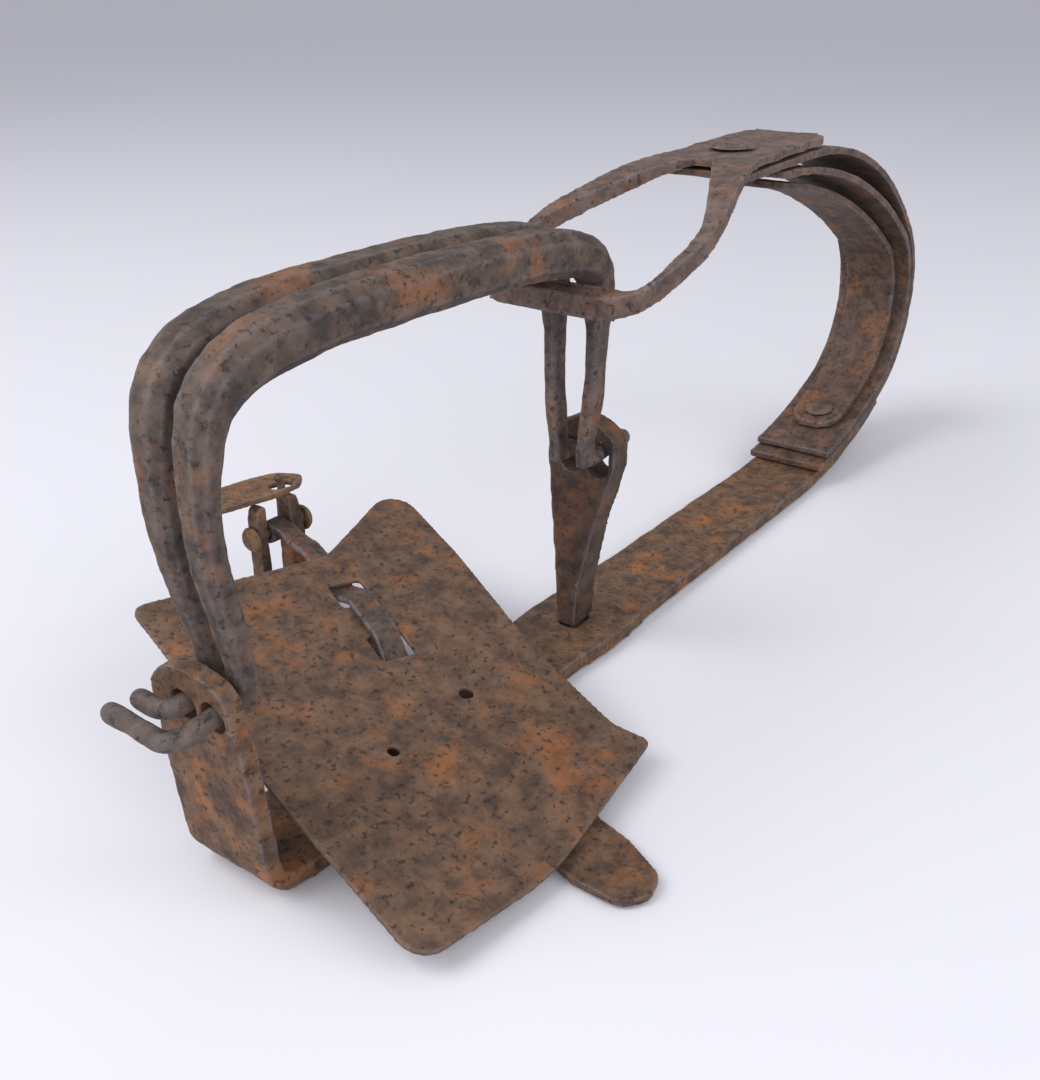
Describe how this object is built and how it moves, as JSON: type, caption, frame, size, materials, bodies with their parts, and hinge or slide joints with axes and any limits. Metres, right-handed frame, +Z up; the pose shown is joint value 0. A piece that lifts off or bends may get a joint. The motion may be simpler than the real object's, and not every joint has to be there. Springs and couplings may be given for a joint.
{
  "type": "animal trap",
  "caption": "Rusty hand-forged animal trap with two smooth jaws, a single long leaf spring, a pan and a dog, shown sprung.",
  "frame": {"origin": "underside of the base bar, midway between the two posts and in the middle of the bar's width", "axes": "+X along the base bar from the front post to the bow of the spring, +Y across towards the dog, +Z up"},
  "size_m": [0.387, 0.1765, 0.1369],
  "materials": {
    "bar_iron": "rough",
    "post_iron": "rough",
    "pan_iron": "rough",
    "dog_iron": "rough",
    "jaw_iron": "rough",
    "spring_iron": "rough",
    "fork_iron": "rough",
    "rivet_iron": "rough"
  },
  "bodies": {
    "frame": {"base_bar": "bar_iron", "rear_post": "post_iron", "cross_bar": "bar_iron", "cross_rivet": "rivet_iron", "foot_rivet": "rivet_iron", "pan_pin": "rivet_iron", "spring_leaf_outer": "spring_iron", "spring_leaf_middle": "spring_iron", "spring_leaf_inner": "spring_iron"},
    "fork": {"spring_fork": "fork_iron", "fork_rivet": "fork_iron"},
    "jaw_front": {"front_jaw": "jaw_iron"},
    "jaw_back": {"back_jaw": "jaw_iron"},
    "pan": {"pan_plate": "pan_iron", "pan_strap": "pan_iron"},
    "dog": {"dog": "dog_iron"}
  },
  "joints": [
    {"name": "jaw_front_swing", "type": "hinge", "parent": "frame", "child": "jaw_front", "pos_m": [0, -0.0084, 0.05678], "axis": [0.9947, -0.0226, 0.1005], "range_deg": [0, 77]},
    {"name": "jaw_back_swing", "type": "hinge", "parent": "frame", "child": "jaw_back", "pos_m": [0, 0.0004, 0.05678], "axis": [-0.9947, 0.0226, -0.1005], "range_deg": [0, 77]},
    {"name": "spring_press", "type": "hinge", "parent": "frame", "child": "fork", "pos_m": [0.263, 0, 0.069], "axis": [0, -1, 0], "range_deg": [0, 26.3], "stiffness_Nm_per_rad": 6, "deforming": ["spring_leaf_outer", "spring_leaf_middle", "spring_leaf_inner"]},
    {"name": "pan_tilt", "type": "hinge", "parent": "frame", "child": "pan", "pos_m": [0.0252, 0.08, 0.0305], "axis": [-1, 0, 0], "range_deg": [0, 14]},
    {"name": "dog_swivel", "type": "hinge", "parent": "frame", "child": "dog", "pos_m": [0.0302, 0.081, 0.0415], "axis": [0, 0, 1], "range_deg": [-60, 95]}
  ],
  "couplings": [
    {"joint": "jaw_back_swing", "follows": "jaw_front_swing", "ratio": 1},
    {"joint": "spring_press", "follows": "jaw_front_swing", "ratio": 0.34026}
  ]
}
